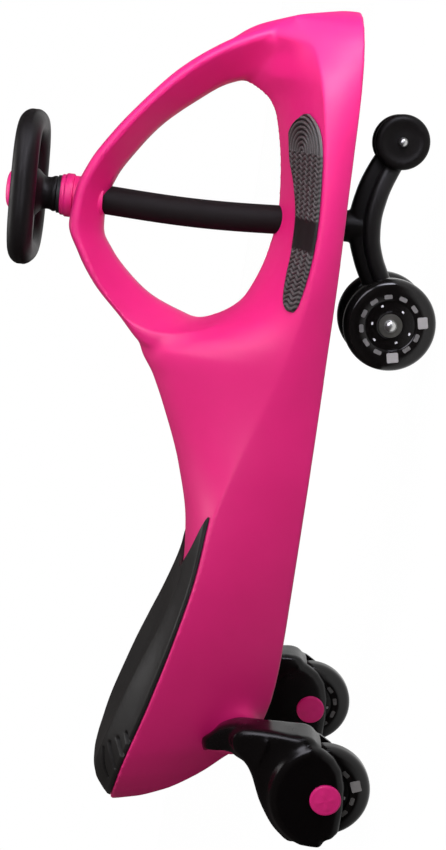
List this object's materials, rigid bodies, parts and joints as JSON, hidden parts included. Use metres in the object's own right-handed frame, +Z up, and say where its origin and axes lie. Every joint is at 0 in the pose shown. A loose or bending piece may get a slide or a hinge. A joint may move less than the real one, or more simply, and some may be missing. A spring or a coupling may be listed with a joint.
{
  "type": "wiggle car",
  "caption": "Ride-on wiggle car with a hollow moulded body and handle arch, steering wheel on a raked column, trailing front wheels, raised rollers and rear wheel housings.",
  "frame": {"origin": "on the ground under the middle of the car's length and width", "axes": "+X forward, +Y to the rider's left, +Z up"},
  "size_m": [0.79, 0.2944, 0.4124],
  "materials": {
    "body_pink": "satin moulded polyethylene",
    "pan_black": "moulded, fine grain",
    "seat_black": "satin moulded insert",
    "pad_rubber": "ribbed soft mat",
    "nylon_black": "turned nylon",
    "washer_white": "acetal",
    "sleeve_black": "matt tube",
    "fork_black": "moulded, satin",
    "arm_black": "moulded, satin",
    "wheel_black": "moulded, satin",
    "cap_pink": "gloss moulding",
    "tyre_clear": "glossy dark polyurethane",
    "hub_white": "clear-white moulding",
    "lights_white": "light board with four lamps",
    "roller_black": "moulded",
    "magnet_grey": "sintered magnet",
    "steel": "zinc-plated steel"
  },
  "bodies": {
    "car_body": {"body_shell": "body_pink", "underside_pan": "pan_black", "pan_screws": "steel", "seat_pad": "seat_black", "seat_screws": "steel", "foot_pad_left": "pad_rubber", "foot_pad_right": "pad_rubber", "upper_bush": "nylon_black", "lower_bush": "nylon_black", "column_sleeve": "sleeve_black", "rear_fork_left": "fork_black", "rear_fork_right": "fork_black", "fork_bolts": "steel", "rear_axle_left": "steel", "rear_nut_left": "steel", "rear_caps_left": "cap_pink", "rear_spacers_left": "steel", "rear_magnet_left": "magnet_grey", "rear_axle_right": "steel", "rear_nut_right": "steel", "rear_caps_right": "cap_pink", "rear_spacers_right": "steel", "rear_magnet_right": "magnet_grey"},
    "steering": {"steering_column": "steel", "column_top_nut": "steel", "column_bottom_nut": "steel", "steering_wheel": "wheel_black", "steering_cap": "cap_pink", "thrust_washer": "washer_white", "front_arm": "arm_black", "front_axle": "steel", "front_nut": "steel", "front_spacers": "steel", "front_magnet_left": "magnet_grey", "front_magnet_right": "magnet_grey", "roller_axle": "steel", "roller_nut": "steel"},
    "front_wheel_left": {"front_tyre_left": "tyre_clear", "front_hub_left": "hub_white", "front_bearings_left": "steel", "front_lights_left": "lights_white"},
    "front_wheel_right": {"front_tyre_right": "tyre_clear", "front_hub_right": "hub_white", "front_bearings_right": "steel", "front_lights_right": "lights_white"},
    "rear_wheel_left": {"rear_tyre_left": "tyre_clear", "rear_hub_left": "hub_white", "rear_bearings_left": "steel", "rear_lights_left": "lights_white"},
    "rear_wheel_right": {"rear_tyre_right": "tyre_clear", "rear_hub_right": "hub_white", "rear_bearings_right": "steel", "rear_lights_right": "lights_white"},
    "roller_left": {"roller_left": "roller_black"},
    "roller_right": {"roller_right": "roller_black"}
  },
  "joints": [
    {"name": "steering_turn", "type": "hinge", "parent": "car_body", "child": "steering", "pos_m": [0.19987, 0, 0.096], "axis": [-0.0349, 0, 0.9994], "continuous": true},
    {"name": "front_wheel_left_spin", "type": "hinge", "parent": "steering", "child": "front_wheel_left", "pos_m": [0.11787, 0.035, 0.043], "axis": [0, 1, 0], "continuous": true},
    {"name": "front_wheel_right_spin", "type": "hinge", "parent": "steering", "child": "front_wheel_right", "pos_m": [0.11787, -0.035, 0.043], "axis": [0, 1, 0], "continuous": true},
    {"name": "rear_wheel_left_spin", "type": "hinge", "parent": "car_body", "child": "rear_wheel_left", "pos_m": [-0.3081, 0.1145, 0.043], "axis": [0, 1, 0], "continuous": true},
    {"name": "rear_wheel_right_spin", "type": "hinge", "parent": "car_body", "child": "rear_wheel_right", "pos_m": [-0.3081, -0.1145, 0.043], "axis": [0, 1, 0], "continuous": true},
    {"name": "roller_left_spin", "type": "hinge", "parent": "steering", "child": "roller_left", "pos_m": [0.28387, 0.0138, 0.0555], "axis": [0, 1, 0], "continuous": true},
    {"name": "roller_right_spin", "type": "hinge", "parent": "steering", "child": "roller_right", "pos_m": [0.28387, -0.0138, 0.0555], "axis": [0, 1, 0], "continuous": true}
  ]
}
